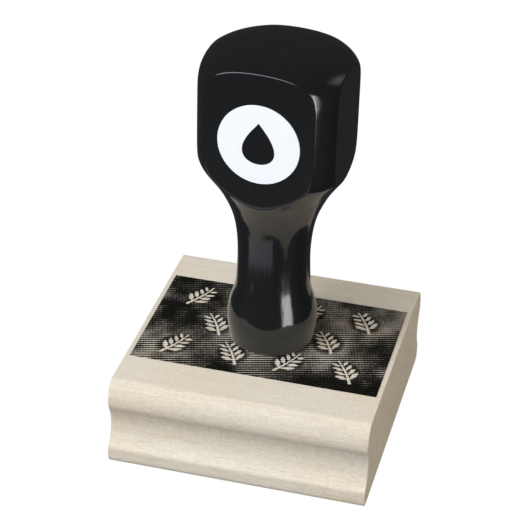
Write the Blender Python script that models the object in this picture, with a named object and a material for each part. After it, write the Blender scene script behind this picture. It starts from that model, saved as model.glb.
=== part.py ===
"""A wooden rubber stamp: turned handle, moulded hardwood mount, foam cushion and rubber die.

Metres, +Z up. The origin is the centre of the die's printing face. X runs along the mount's grain,
and the handle's label faces -Y. Run with: blender --background --python part.py
"""
import math

import bmesh
import bpy

MM = 0.001

# Mount block
BLOCK_WIDTH = 63.5 * MM              # along the grain, between the two sawn ends
BLOCK_HEIGHT = 22.5 * MM
COVE_RADIUS = 8.6 * MM               # of the round finger cove along each side
COVE_HEIGHT = 10.56 * MM             # where the cove is deepest
COVE_DEPTH = 30.5 * MM               # half depth of the block there
NOSE_DEPTH = 32.4 * MM               # half depth of the block at its bullnose
NOSE_RADIUS = 3.5 * MM
FOOT_DEPTH = 33.1 * MM               # half depth of the block at its foot
FOOT_EDGE = 1.1 * MM                 # radius between the foot and the cove
FOOT_ROUND = 1.8 * MM                # radius between the foot and the underside

# Stack under the block
DIE_WIDTH = 58.4 * MM
DIE_DEPTH = 36.6 * MM
RELIEF = 0.9 * MM                    # height of the raised printing face over the die's sheet
DIE_SHEET = 1.4 * MM
ADHESIVE = 0.1 * MM
FOAM = 3.2 * MM
FACE_GAP = 0.05 * MM                 # between two flat faces that rest on each other
FIT_GAP = 0.3 * MM                   # between two round faces
PRINT_MARGIN = 0.6 * MM              # from the die's edge to the first raised rubber
ROOT = 0.4 * MM                      # how far raised rubber reaches into the sheet

# Printed pattern: leafy sprigs in staggered rows, left bare in an inked ground
SPRIG_ROWS, SPRIG_COLUMNS = 3, 4     # every second row has one sprig less
SPRIG_PITCH = (14.2 * MM, 11.2 * MM)  # between sprigs along a row, and between rows
SPRIG_LENGTH = 9.6 * MM
SPRIG_LEAN = math.radians(28)        # off upright, to the left and to the right in turn
STEM_WIDTHS = (0.36 * MM, 0.2 * MM)  # half widths at the foot and at the tip
LEAF_PAIRS = 4
LEAF_FIRST, LEAF_STEP = 0.14, 0.2    # places of the leaf pairs, as shares of the stem
LEAF_TURN = math.radians(48)         # between the stem and a leaf
LEAF_LENGTH = 1.6 * MM               # half lengths and half widths of the leaves
LEAF_WIDTH = 0.55 * MM
LEAF_TAPER = 0.12                    # how much shorter each pair is than the one before it
LEAF_GAP = 0.75 * MM                 # from the stem's middle to a leaf's root
LEAF_SIDES = 6

# Index film on top of the block
FILM_WIDTH = 61.0 * MM
FILM_DEPTH = 38.2 * MM
FILM = 0.12 * MM

# Handle: (height, radius) stations of the turned outline below the crown
HANDLE_OUTLINE = [(0.0, 10.1), (1.6, 10.5), (6.2, 11.0), (10.0, 10.6), (14.0, 9.35), (18.5, 8.95),
                  (25.0, 8.8), (30.5, 9.25), (35.0, 10.2), (39.0, 11.8), (42.7, 13.75), (46.2, 16.2),
                  (49.3, 18.4), (52.5, 18.9), (58.0, 19.0), (65.5, 19.0)]
CROWN_RADIUS = 19.0 * MM
CROWN_START = 65.5 * MM
CROWN_HEIGHT = 12.3 * MM
CROWN_POWERS = (3.7, 4.6)            # exponents of the crown's squared-off curve
FRONT_FLAT = 13.8 * MM               # the axis to the front and back flats
SIDE_FLAT = 16.8 * MM                # the axis to the two side flats
HANDLE_TWIST = math.radians(-4.5)    # where the handle stops when it is screwed tight
LABEL_RADIUS = 9.85 * MM
LABEL_SIDES = 56
LABEL = 0.2 * MM
LABEL_HEIGHT = 59.5 * MM             # the label's centre above the handle's foot

# Fastening
SHANK_RADIUS = 2.5 * MM
SCREW_LENGTH = 35.0 * MM
HEAD_RADIUS = 4.8 * MM
HEAD_HEIGHT = 2.7 * MM
HEAD_RIM = 0.3 * MM                  # the straight edge of the countersunk head
HEAD_SINK = 0.4 * MM                 # the head's face below the block's underside
TIP_BEVEL = (0.8 * MM, 1.0 * MM)     # across and along the shank
RECESS_ARM = 0.45 * MM               # half width of the cross recess
RECESS_REACH = 2.4 * MM
RECESS_DEPTH = 1.6 * MM
INSERT_RADIUS = 4.0 * MM
INSERT_LENGTH = 13.0 * MM
INSERT_SINK = 0.2 * MM               # the insert's mouth above the handle's foot
COLLAR = 1.0 * MM                    # length of the insert's plain end collars
WAIST = 0.4 * MM                     # depth and slope of the waist between them
BORE_DEPTH = 16.0 * MM
ROUND_STEPS = 32                     # segments of the small turned pieces
SHARP_EDGE = math.radians(32)        # edges that turn more than this stay sharp
OVERSHOOT = 1.0 * MM                 # how far a cutter reaches past the face it opens

# Heights of the stack, from the printing face up
DIE_TOP = RELIEF + DIE_SHEET
LOWER_ADHESIVE_Z = DIE_TOP + FACE_GAP
FOAM_Z = LOWER_ADHESIVE_Z + ADHESIVE + FACE_GAP
UPPER_ADHESIVE_Z = FOAM_Z + FOAM + FACE_GAP
BLOCK_Z = UPPER_ADHESIVE_Z + ADHESIVE + FACE_GAP
BLOCK_TOP = BLOCK_Z + BLOCK_HEIGHT
FILM_Z = BLOCK_TOP + FACE_GAP
HANDLE_Z = FILM_Z + FILM + FACE_GAP


def clear_scene():
    for old in list(bpy.context.scene.objects):
        bpy.data.objects.remove(old)


def material(name, colour, roughness, metallic=0.0):
    made = bpy.data.materials.new(name)
    made.use_nodes = True
    shader = made.node_tree.nodes["Principled BSDF"]
    shader.inputs["Base Color"].default_value = (*colour, 1.0)
    shader.inputs["Roughness"].default_value = roughness
    shader.inputs["Metallic"].default_value = metallic
    return made


def add_object(name, bm, finish=None, smooth=False):
    """Turns a bmesh into an object with outward faces."""
    bmesh.ops.recalc_face_normals(bm, faces=bm.faces)
    mesh = bpy.data.meshes.new(name)
    bm.to_mesh(mesh)
    bm.free()
    made = bpy.data.objects.new(name, mesh)
    bpy.context.scene.collection.objects.link(made)
    if finish:
        mesh.materials.append(finish)
    if smooth:
        mesh.shade_smooth()
        mesh.set_sharp_from_angle(angle=SHARP_EDGE)
    return made


def add_axis(name, location, turn=0.0):
    """An empty on a joint's axis, which the moving pieces are parented to."""
    axis = bpy.data.objects.new(name, None)
    axis.location = location
    axis.rotation_euler = (0.0, 0.0, turn)
    bpy.context.scene.collection.objects.link(axis)
    return axis


def cut(target, cutter):
    """Takes a hidden cutter's shape out of the target."""
    cutter.hide_render = True
    cutter.display_type = "WIRE"
    boolean = target.modifiers.new("cut_" + cutter.name, "BOOLEAN")
    boolean.operation = "DIFFERENCE"
    boolean.object = cutter


def box_mesh(width, depth, height, z=0.0):
    bm = bmesh.new()
    bmesh.ops.create_cube(bm, size=1.0)
    bmesh.ops.scale(bm, vec=(width, depth, height), verts=bm.verts)
    bmesh.ops.translate(bm, vec=(0.0, 0.0, z + height / 2), verts=bm.verts)
    return bm


def add_prism(bm, outline, low, high):
    """Adds the upright prism on a closed outline of (x, y) points."""
    floor = bm.faces.new([bm.verts.new((x, y, low)) for x, y in outline])
    lifted = bmesh.ops.extrude_face_region(bm, geom=[floor])["geom"]
    tops = [v for v in lifted if isinstance(v, bmesh.types.BMVert)]
    bmesh.ops.translate(bm, vec=(0.0, 0.0, high - low), verts=tops)


def disc_outline(radius, points, centre=(0.0, 0.0), start=0.0):
    turns = [start + 2 * math.pi * i / points for i in range(points)]
    return [(centre[0] + radius * math.cos(a), centre[1] + radius * math.sin(a)) for a in turns]


def close_rings(bm, rings):
    """Joins neighbouring rings with faces; a ring of one vertex closes an end."""
    for low, high in zip(rings, rings[1:]):
        count = max(len(low), len(high))
        for i in range(count):
            j = (i + 1) % count
            corners = [low[i % len(low)], low[j % len(low)], high[j % len(high)], high[i % len(high)]]
            unique = [v for k, v in enumerate(corners) if v not in corners[:k]]
            bm.faces.new(unique)


def lathe(outline, segments):
    """A turned solid from (radius, height) points, ring by ring; radius 0 is a point on the axis."""
    bm = bmesh.new()
    rings = []
    for radius, z in outline:
        if radius == 0.0:
            rings.append([bm.verts.new((0.0, 0.0, z))])
        else:
            rings.append([bm.verts.new((x, y, z)) for x, y in disc_outline(radius, segments)])
    if outline[0][0] > 0.0:
        rings.append(rings[0])
    close_rings(bm, rings)
    return bm


def smooth_radius(stations, z):
    """Radius at height z on a smooth curve through (height, radius) stations."""
    last = len(stations) - 1
    k = max(i for i in range(last) if stations[i][0] <= z or i == 0)

    def slope(i):
        low, high = stations[max(i - 1, 0)], stations[min(i + 1, last)]
        return (high[1] - low[1]) / (high[0] - low[0])

    (z0, r0), (z1, r1) = stations[k], stations[k + 1]
    span = z1 - z0
    t = (z - z0) / span
    blend_in, blend_out = (1 + 2 * t) * (1 - t) ** 2, t * t * (3 - 2 * t)
    return (blend_in * r0 + t * (1 - t) ** 2 * span * slope(k)
            + blend_out * r1 + t * t * (t - 1) * span * slope(k + 1))


def handle_outline():
    """(radius, height) from the foot to just short of the crown's middle."""
    points = []
    for (z0, _), (z1, _) in zip(HANDLE_OUTLINE, HANDLE_OUTLINE[1:]):
        for part in (0.0, 0.5):
            z = z0 + part * (z1 - z0)
            points.append((smooth_radius(HANDLE_OUTLINE, z) * MM, z * MM))
    inner, outer = CROWN_POWERS
    steps = 9
    for i in range(steps):
        share = math.cos(math.pi / 2 * i / steps)
        rise = (1 - share ** inner) ** (1 / outer)
        points.append((CROWN_RADIUS * share, CROWN_START + CROWN_HEIGHT * rise))
    return points


def handle_angles():
    """Angles round the handle, with one at each edge where a flat meets a round corner."""
    side_half = math.acos(SIDE_FLAT / CROWN_RADIUS)
    front_half = math.acos(FRONT_FLAT / CROWN_RADIUS)
    stretches = ((-side_half, side_half, 6), (side_half, math.pi / 2 - front_half, 3),
                 (math.pi / 2 - front_half, math.pi / 2 + front_half, 10),
                 (math.pi / 2 + front_half, math.pi - side_half, 3))
    half = [a + (b - a) * i / n for a, b, n in stretches for i in range(n)]
    return half + [a + math.pi for a in half]


def handle_ring(bm, radius, z):
    """One ring of the turned body, cut back to the four flats."""
    ring = []
    for a in handle_angles():
        to_side = SIDE_FLAT / max(abs(math.cos(a)), 1e-6)
        to_front = FRONT_FLAT / max(abs(math.sin(a)), 1e-6)
        reach = min(radius, to_side, to_front)
        ring.append(bm.verts.new((reach * math.cos(a), reach * math.sin(a), z)))
    return ring


def build_handle(axis):
    """The turned handle, with a blind bore in its foot for the threaded insert and the screw's tip."""
    bm = bmesh.new()
    bore = INSERT_RADIUS + FIT_GAP
    rings = [[bm.verts.new((0.0, 0.0, BORE_DEPTH))]]
    rings += [handle_ring(bm, bore, z) for z in (BORE_DEPTH, 0.0)]
    rings += [handle_ring(bm, radius, z) for radius, z in handle_outline()]
    rings.append([bm.verts.new((0.0, 0.0, CROWN_START + CROWN_HEIGHT))])
    close_rings(bm, rings)
    lacquer = material("black_lacquer", (0.008, 0.009, 0.009), 0.12)
    handle = add_object("handle", bm, lacquer, smooth=True)
    handle.parent = axis


def build_label(axis):
    bm = bmesh.new()
    add_prism(bm, disc_outline(LABEL_RADIUS, LABEL_SIDES), 0.0, LABEL)
    vinyl = material("label_white", (0.92, 0.93, 0.95), 0.45)
    label = add_object("handle_label", bm, vinyl, smooth=True)
    label.parent = axis
    label.location = (0.0, -FRONT_FLAT - FACE_GAP, LABEL_HEIGHT)
    label.rotation_euler = (math.radians(90), 0.0, 0.0)


def build_insert(axis):
    """Brass insert in the handle's foot: an open tube with a plain collar at each end."""
    bore = SHANK_RADIUS + FIT_GAP
    waist = INSERT_RADIUS - WAIST
    low, high = INSERT_SINK, INSERT_SINK + INSERT_LENGTH
    lower_half = [(bore, low), (INSERT_RADIUS, low), (INSERT_RADIUS, low + COLLAR),
                  (waist, low + COLLAR + WAIST)]
    upper_half = [(radius, low + high - z) for radius, z in reversed(lower_half)]
    brass = material("brass", (0.75, 0.55, 0.25), 0.3, 1.0)
    insert = add_object("threaded_insert", lathe(lower_half + upper_half, ROUND_STEPS), brass, smooth=True)
    insert.parent = axis


def build_screw():
    """Countersunk screw: head in the block's underside, shank up through block, film and insert."""
    face = BLOCK_Z + HEAD_SINK
    tip = face + SCREW_LENGTH
    bevel_in, bevel_along = TIP_BEVEL
    outline = [(0.0, face), (HEAD_RADIUS, face), (HEAD_RADIUS, face + HEAD_RIM),
               (SHANK_RADIUS, face + HEAD_HEIGHT), (SHANK_RADIUS, tip - bevel_along),
               (SHANK_RADIUS - bevel_in, tip), (0.0, tip)]
    zinc = material("zinc", (0.72, 0.73, 0.75), 0.3, 1.0)
    screw = add_object("mount_screw", lathe(outline, ROUND_STEPS), zinc, smooth=True)
    arm, reach = RECESS_ARM, RECESS_REACH
    quarter = [(arm, arm), (arm, reach), (-arm, reach)]
    cross = []
    for turn in range(4):
        cross += quarter
        quarter = [(-y, x) for x, y in quarter]
    bm = bmesh.new()
    add_prism(bm, cross, face - OVERSHOOT, face + RECESS_DEPTH)
    cut(screw, add_object("driver_recess", bm))


def cove_meets(depth, radius):
    """Angle at which the cove runs into a round edge that stands out to depth, and that edge's height."""
    reach = COVE_RADIUS + radius
    angle = math.acos(1 - (depth - COVE_DEPTH) / reach)
    return angle, reach * math.sin(angle)


def arc(centre, out, rise, first, last, steps):
    """Points along an elliptic arc with half widths out and rise."""
    turns = [first + (last - first) * i / steps for i in range(steps + 1)]
    return [(centre[0] + out * math.cos(a), centre[1] + rise * math.sin(a)) for a in turns]


def block_outline():
    """(depth, height) of one long side, from the underside up to the top face."""
    low_angle, drop = cove_meets(FOOT_DEPTH, FOOT_EDGE)
    high_angle, climb = cove_meets(NOSE_DEPTH, NOSE_RADIUS)
    under = (FOOT_DEPTH - FOOT_ROUND, FOOT_ROUND)
    foot = (FOOT_DEPTH - FOOT_EDGE, COVE_HEIGHT - drop)
    cove = (COVE_DEPTH + COVE_RADIUS, COVE_HEIGHT)
    nose = (NOSE_DEPTH - NOSE_RADIUS, COVE_HEIGHT + climb)
    points = arc(under, FOOT_ROUND, FOOT_ROUND, -math.pi / 2, 0.0, 4)
    points += arc(foot, FOOT_EDGE, FOOT_EDGE, 0.0, low_angle, 2)
    points += arc(cove, -COVE_RADIUS, COVE_RADIUS, -low_angle, high_angle, 9)[1:]
    points += arc(nose, NOSE_RADIUS, NOSE_RADIUS, -high_angle, 0.0, 3)[1:]
    points += arc(nose, NOSE_RADIUS, BLOCK_HEIGHT - nose[1], 0.0, math.pi / 2, 8)[1:]
    return points


def build_block():
    """The mount: one moulding sawn to length, bored and countersunk for the screw."""
    side = block_outline()
    section = side + [(-y, z) for y, z in reversed(side)]
    bm = bmesh.new()
    end = bm.faces.new([bm.verts.new((-BLOCK_WIDTH / 2, y, BLOCK_Z + z)) for y, z in section])
    pulled = bmesh.ops.extrude_face_region(bm, geom=[end])["geom"]
    far = [v for v in pulled if isinstance(v, bmesh.types.BMVert)]
    bmesh.ops.translate(bm, vec=(BLOCK_WIDTH, 0.0, 0.0), verts=far)
    block = add_object("mount_block", bm, material("maple", (0.76, 0.68, 0.55), 0.5), smooth=True)
    bore = SHANK_RADIUS + FIT_GAP
    sink = HEAD_RADIUS + FIT_GAP
    below, above = BLOCK_Z - OVERSHOOT, BLOCK_TOP + OVERSHOOT
    hole = [(0.0, below), (sink, below), (sink, BLOCK_Z + HEAD_SINK + HEAD_RIM),
            (bore, BLOCK_Z + HEAD_SINK + HEAD_HEIGHT + FIT_GAP), (bore, above), (0.0, above)]
    cut(block, add_object("screw_hole", lathe(hole, ROUND_STEPS)))


def build_film():
    """Printed index film on the block, with a hole for the screw."""
    ink = material("index_print", (0.05, 0.05, 0.045), 0.5)
    film = add_object("index_film", box_mesh(FILM_WIDTH, FILM_DEPTH, FILM, FILM_Z), ink)
    bore = SHANK_RADIUS + FIT_GAP
    below, above = FILM_Z - OVERSHOOT, FILM_Z + FILM + OVERSHOOT
    hole = [(0.0, below), (bore, below), (bore, above), (0.0, above)]
    cut(film, add_object("film_hole", lathe(hole, ROUND_STEPS)))


def raised(name, bm, die, axis):
    """Joins a hidden shape onto the die as raised rubber."""
    shape = add_object(name, bm)
    shape.hide_render = True
    shape.display_type = "WIRE"
    shape.parent = axis
    union = die.modifiers.new("join_" + name, "BOOLEAN")
    union.operation = "UNION"
    union.object = shape
    return shape


def build_die(axis):
    """Rubber die: a sheet with a raised printing face, and leafy sprigs left bare in it."""
    rubber = material("rubber_grey", (0.16, 0.15, 0.16), 0.65)
    die = add_object("rubber_die", box_mesh(DIE_WIDTH, DIE_DEPTH, DIE_SHEET, RELIEF), rubber)
    die.parent = axis
    ground = box_mesh(DIE_WIDTH - 2 * PRINT_MARGIN, DIE_DEPTH - 2 * PRINT_MARGIN, RELIEF + ROOT)
    face = raised("printing_face", ground, die, axis)
    bm = bmesh.new()
    for x, y, turn in sprigs():
        for outline in sprig_outlines(x, y, turn):
            add_prism(bm, outline, -OVERSHOOT, RELIEF - FACE_GAP)
    cut(face, add_object("sprig_grooves", bm))


def sprigs():
    """Centre and direction of every sprig of the pattern."""
    across, up = SPRIG_PITCH
    for row in range(SPRIG_ROWS):
        columns = SPRIG_COLUMNS - row % 2
        for column in range(columns):
            lean = SPRIG_LEAN if (row + column) % 2 else -SPRIG_LEAN
            yield (column - (columns - 1) / 2) * across, (row - (SPRIG_ROWS - 1) / 2) * up, math.pi / 2 + lean


def sprig_outlines(x, y, turn):
    """Outlines of one sprig's stem and of its leaves, which stand in pairs along it."""

    def place(along, across):
        return (x + along * math.cos(turn) - across * math.sin(turn),
                y + along * math.sin(turn) + across * math.cos(turn))

    half = SPRIG_LENGTH / 2
    foot, tip = STEM_WIDTHS
    outlines = [[place(-half, -foot), place(half, -tip), place(half, tip), place(-half, foot)]]
    for pair in range(LEAF_PAIRS):
        root = SPRIG_LENGTH * (LEAF_FIRST + LEAF_STEP * pair) - half
        length = LEAF_LENGTH * (1 - LEAF_TAPER * pair)
        for side in (-1, 1):
            leaf = []
            for i, j in disc_outline(1.0, LEAF_SIDES):
                out, wide = LEAF_GAP + length * (1 + i), LEAF_WIDTH * j
                leaf.append(place(root + out * math.cos(LEAF_TURN) - wide * math.sin(LEAF_TURN),
                                  side * (out * math.sin(LEAF_TURN) + wide * math.cos(LEAF_TURN))))
            outlines.append(leaf)
    return outlines


def build_pads(axis):
    """The foam cushion and the two adhesive films that hold it."""
    tack = material("adhesive_film", (0.85, 0.82, 0.7), 0.3)
    add_object("upper_adhesive", box_mesh(DIE_WIDTH, DIE_DEPTH, ADHESIVE, UPPER_ADHESIVE_Z), tack)
    foam = material("foam_white", (0.82, 0.82, 0.8), 0.9)
    add_object("foam_cushion", box_mesh(DIE_WIDTH, DIE_DEPTH, FOAM, FOAM_Z), foam)
    lower_tack = material("adhesive_film_lower", (0.85, 0.82, 0.7), 0.3)
    lower_film = box_mesh(DIE_WIDTH, DIE_DEPTH, ADHESIVE, LOWER_ADHESIVE_Z)
    lower = add_object("lower_adhesive", lower_film, lower_tack)
    lower.parent = axis


def build():
    clear_scene()
    handle_axis = add_axis("handle_axis", (0.0, 0.0, HANDLE_Z), HANDLE_TWIST)
    press_axis = add_axis("press_axis", (0.0, 0.0, 0.0))
    build_block()
    build_film()
    build_screw()
    build_handle(handle_axis)
    build_label(handle_axis)
    build_insert(handle_axis)
    build_pads(press_axis)
    build_die(press_axis)


build()
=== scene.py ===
"""Looks for the wooden rubber stamp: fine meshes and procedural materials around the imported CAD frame.

+Z up. The printing face lies on Z = 0, the mount's grain runs along X, and the handle's label faces
-Y. Sizes of the stamp are in millimetres, which MM turns into metres; light, floor and camera are in
metres.
"""

import math

import bmesh
import bpy
import numpy as np
from mathutils import Matrix, Vector


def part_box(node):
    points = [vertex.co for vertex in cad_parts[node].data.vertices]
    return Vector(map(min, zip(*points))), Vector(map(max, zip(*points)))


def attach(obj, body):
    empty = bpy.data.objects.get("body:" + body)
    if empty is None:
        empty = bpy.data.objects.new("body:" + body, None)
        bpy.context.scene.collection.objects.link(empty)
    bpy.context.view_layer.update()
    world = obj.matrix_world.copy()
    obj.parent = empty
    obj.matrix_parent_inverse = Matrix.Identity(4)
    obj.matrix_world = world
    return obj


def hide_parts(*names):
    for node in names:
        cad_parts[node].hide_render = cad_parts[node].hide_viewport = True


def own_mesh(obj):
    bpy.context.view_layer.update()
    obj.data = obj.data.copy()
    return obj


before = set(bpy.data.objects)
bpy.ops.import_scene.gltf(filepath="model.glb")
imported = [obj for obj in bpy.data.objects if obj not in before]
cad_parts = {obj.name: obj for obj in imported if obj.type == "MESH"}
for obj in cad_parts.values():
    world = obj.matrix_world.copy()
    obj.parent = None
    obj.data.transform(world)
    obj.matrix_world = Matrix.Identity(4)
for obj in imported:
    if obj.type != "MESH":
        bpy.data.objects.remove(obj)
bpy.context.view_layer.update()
MM = 0.001
SHARP_ANGLE = 30.0                    # degrees; edges sharper than this stay sharp


# ---------------------------------------------------------------- mesh helpers

def new_object(name, mesh, smooth_angle=None):
    """Links a mesh as an object; smooth_angle in degrees keeps sharper edges sharp."""
    made = bpy.data.objects.new(name, mesh)
    bpy.context.scene.collection.objects.link(made)
    if smooth_angle is not None:
        mesh.shade_smooth()
        mesh.set_sharp_from_angle(angle=math.radians(smooth_angle))
    return made


def mesh_from(name, points, faces):
    """A mesh from an array of points in millimetres and a list of faces."""
    mesh = bpy.data.meshes.new(name)
    mesh.from_pydata((np.asarray(points, float) * MM).tolist(), [], [list(f) for f in faces])
    mesh.update()
    return mesh


def tube_faces(rings, segments):
    """Quads between neighbouring rings of the same number of points, each ring closed."""
    row = np.arange(rings - 1)[:, None] * segments
    here = np.arange(segments)[None]
    after = (here + 1) % segments
    quads = np.stack([row + here, row + after, row + segments + after, row + segments + here], -1)
    return quads.reshape(-1, 4).tolist()


def capped_tube(rings):
    """Points and faces of a solid from rings of the same number of points, with a flat cap at each end."""
    count = len(rings[0])
    last = (len(rings) - 1) * count
    faces = tube_faces(len(rings), count)
    faces.append(list(range(count))[::-1])
    faces.append(list(range(last, last + count)))
    return np.concatenate(rings), faces


def grid(half_x, half_y, columns, rows):
    """Coordinates of a grid of points over a rectangle."""
    return np.meshgrid(np.linspace(-half_x, half_x, columns), np.linspace(-half_y, half_y, rows))


def slab(x, y, near, far, flip=False):
    """Points and faces of a slab: heights near over the grid x, y, and a flat far side at height far.

    The near side faces up, or down where flip is set.
    """
    rows, columns = x.shape
    surface = np.column_stack([x.ravel(), y.ravel(), near.ravel()])
    corner = np.arange(rows * columns).reshape(rows, columns)
    quads = np.stack([corner[:-1, :-1], corner[:-1, 1:], corner[1:, 1:], corner[1:, :-1]], -1)
    faces = quads.reshape(-1, 4).tolist()
    rim = np.concatenate([corner[0, :], corner[1:, -1], corner[-1, -2::-1], corner[-2:0:-1, 0]])
    base, count = rows * columns, len(rim)
    for k in range(count):
        n = (k + 1) % count
        faces.append([base + k, base + n, rim[n], rim[k]])
    faces.append([base + k for k in range(count)][::-1])
    back = np.column_stack([surface[rim, :2], np.full(count, far)])
    if flip:
        faces = [face[::-1] for face in faces]
    return np.concatenate([surface, back]), faces


def ring(radius, angles, z):
    """Points at one height; radius is a number or one value for each angle."""
    return np.stack([radius * np.cos(angles), radius * np.sin(angles), np.full(len(angles), z)], -1)


def turned(name, reach, heights, segments):
    """A closed solid of revolution: reach(angles, ring number) gives each ring's radii, in millimetres."""
    angles = np.linspace(0, 2 * math.pi, segments, endpoint=False)
    rings = [ring(reach(angles, k), angles, z) for k, z in enumerate(heights)]
    return new_object(name, mesh_from(name, *capped_tube(rings)), SHARP_ANGLE)


def carve(target, cutter):
    """Cuts the cutter's shape out of the target and removes the cutter."""
    cut = target.modifiers.new("cut", "BOOLEAN")
    cut.object = cutter
    cut.solver = "EXACT"
    result = bpy.data.meshes.new_from_object(target.evaluated_get(bpy.context.evaluated_depsgraph_get()))
    target.modifiers.clear()
    target.data = result
    result.set_sharp_from_angle(angle=math.radians(SHARP_ANGLE))
    bpy.data.objects.remove(cutter)


def placed(obj, z, turn, body, node, finish):
    """Puts a finished piece at its height, on its body and, where it has one, in place of its CAD node."""
    obj.data.transform(Matrix.Translation((0.0, 0.0, z)) @ Matrix.Rotation(turn, 4, "Z"))
    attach(obj, body)
    if node:
        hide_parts(node)
    obj.data.materials.clear()
    obj.data.materials.append(finish)


def smooth_max(a, b, round_over):
    """The larger of a and b, with the corner between them rounded."""
    share = np.clip(round_over - np.abs(a - b), 0, None) / round_over
    return np.maximum(a, b) + share * share * round_over / 4


# ---------------------------------------------------------------- material helpers

class Tree:
    """A small writer of shader node trees. Sockets, numbers and tuples can all be inputs."""

    def __init__(self, block):
        block.use_nodes = True
        self.block = block
        self.tree = block.node_tree

    def lit_by(self, kind):
        """1 for rays of one kind, such as "Is Camera Ray", and 0 for others."""
        return self.node("ShaderNodeLightPath").outputs[kind]

    def put(self, socket, value):
        """Links a socket to the input, or sets the input to a value."""
        if isinstance(value, bpy.types.NodeSocket):
            self.tree.links.new(value, socket)
        elif isinstance(value, tuple) and len(value) == 3 and socket.type == "RGBA":
            socket.default_value = (*value, 1.0)
        else:
            socket.default_value = value

    def node(self, kind, inputs=None, **settings):
        """A new node with its settings, and with inputs given by number or by name."""
        made = self.tree.nodes.new(kind)
        for key, value in settings.items():
            setattr(made, key, value)
        for key, value in (inputs or {}).items():
            self.put(made.inputs[key], value)
        return made

    def math(self, operation, a, b=0.0):
        return self.node("ShaderNodeMath", {0: a, 1: b}, operation=operation).outputs[0]

    def times(self, a, *others):
        """The product of two or more values."""
        for other in others:
            a = self.math("MULTIPLY", a, other)
        return a

    def math3(self, operation, a, b):
        second = "Scale" if operation == "SCALE" else 1
        return self.node("ShaderNodeVectorMath", {0: a, second: b}, operation=operation).outputs["Vector"]

    def parts(self, vector):
        return self.node("ShaderNodeSeparateXYZ", {0: vector}).outputs

    def vector(self, x, y, z):
        return self.node("ShaderNodeCombineXYZ", {0: x, 1: y, 2: z}).outputs[0]

    def noise(self, scale=1.0, stretch=(1.0, 1.0, 1.0), detail=2.0, rough=0.5, at=None, offset=0.0):
        """Noise from 0 to 1 around 0.5; stretch divides its frequency along each axis."""
        per_mm = tuple(scale / s for s in stretch)
        where = self.math3("MULTIPLY", at if at is not None else self.place, per_mm)
        where = self.math3("ADD", where, (offset, offset * 0.7, -offset * 0.4))
        made = self.node("ShaderNodeTexNoise", {"Vector": where, "Scale": 1.0, "Detail": detail,
                                                "Roughness": rough})
        return made.outputs["Fac"]

    def span(self, value, low, high, to_low=0.0, to_high=1.0, soft=True):
        """Maps low..high to to_low..to_high, clamped, with an eased or a straight ramp."""
        made = self.node("ShaderNodeMapRange", {0: value, 1: low, 2: high, 3: to_low, 4: to_high},
                         interpolation_type="SMOOTHSTEP" if soft else "LINEAR")
        return made.outputs[0]

    def band(self, value, rise, full, fall, end):
        """1 between full and fall, and 0 outside rise and end."""
        return self.times(self.span(value, rise, full), self.span(value, fall, end, 1.0, 0.0))

    def mix(self, share, a, b):
        """Colour a where share is 0 and colour b where it is 1."""
        made = self.node("ShaderNodeMix", {0: share, 6: a, 7: b}, data_type="RGBA")
        return made.outputs[2]

    def attribute(self, name):
        return self.node("ShaderNodeAttribute", attribute_name=name).outputs["Fac"]

    def bump(self, height, distance, strength=1.0, after=None):
        """A bump whose height is in millimetres times distance."""
        made = self.node("ShaderNodeBump", {"Height": height, "Distance": distance * MM,
                                            "Strength": strength})
        if after is not None:
            self.put(made.inputs["Normal"], after)
        return made.outputs[0]


class Finish(Tree):
    """A material: its place vector is the surface point at rest, in millimetres, in the row frame."""

    def __init__(self, name):
        super().__init__(bpy.data.materials.new(name))
        coordinates = self.node("ShaderNodeTexCoord").outputs["Object"]
        self.place = self.math3("MULTIPLY", coordinates, (1000.0, 1000.0, 1000.0))

    def done(self, **inputs):
        shader = self.tree.nodes["Principled BSDF"]
        for key, value in inputs.items():
            self.put(shader.inputs[key.replace("_", " ")], value)
        return self.block


# ---------------------------------------------------------------- handle

# (height, radius) stations of the turned outline, from the foot up to the head, in millimetres
HANDLE_OUTLINE = [(0.0, 10.1), (1.6, 10.5), (6.2, 11.0), (10.0, 10.6), (14.0, 9.35), (18.5, 8.95),
                  (25.0, 8.8), (30.5, 9.25), (35.0, 10.2), (39.0, 11.8), (42.7, 13.75), (46.2, 16.2),
                  (49.3, 18.4), (52.5, 18.9), (58.0, 19.0), (65.5, 19.0)]
HEAD_RADIUS = 19.0
CROWN_START = 65.5
CROWN_HEIGHT = 12.3
CROWN_POWERS = (3.7, 4.6)
FRONT_FLAT = 13.8                     # the axis to the front and back flats
SIDE_FLAT = 16.8                      # the axis to the two side flats
ARRIS = 0.27                          # how much the edges of the flats are rounded over
HANDLE_TURN = math.radians(-4.5)
HANDLE_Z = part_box("handle")[0].z
LABEL_Z = ((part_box("handle_label")[0].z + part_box("handle_label")[1].z) / 2 - HANDLE_Z) / MM
BORE_RADIUS = 4.3
BORE_DEPTH = 16.0
BORE_EASE = 0.4                       # the bore's broken edge
FOOT_EASE = 0.5                       # radius between the foot and its flat underside
FOOT_RINGS = [0.0, 0.12, 0.3, 0.5]    # heights of the rings of points in that radius
FIRST_RING, RING_STEP = 0.9, 0.42     # and of those above it
TURNED_EASE = 1.1                     # how far the turned outline is smoothed along its length
HANDLE_SEGMENTS = 312
CROWN_RINGS = 150
CROWDING = 2.6                        # how much closer points stand at the edge of a flat
CROWDED = 0.075                       # how far from the edge that reaches, in radians
FULL_CROWDING = 0.35                  # half angle of a flat from which it is full, in radians
SEARCH_PAST, HALVINGS = 0.2, 26       # the surface is sought from this far outside, in this many steps
ANGLE_SAMPLES = 2881


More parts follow.
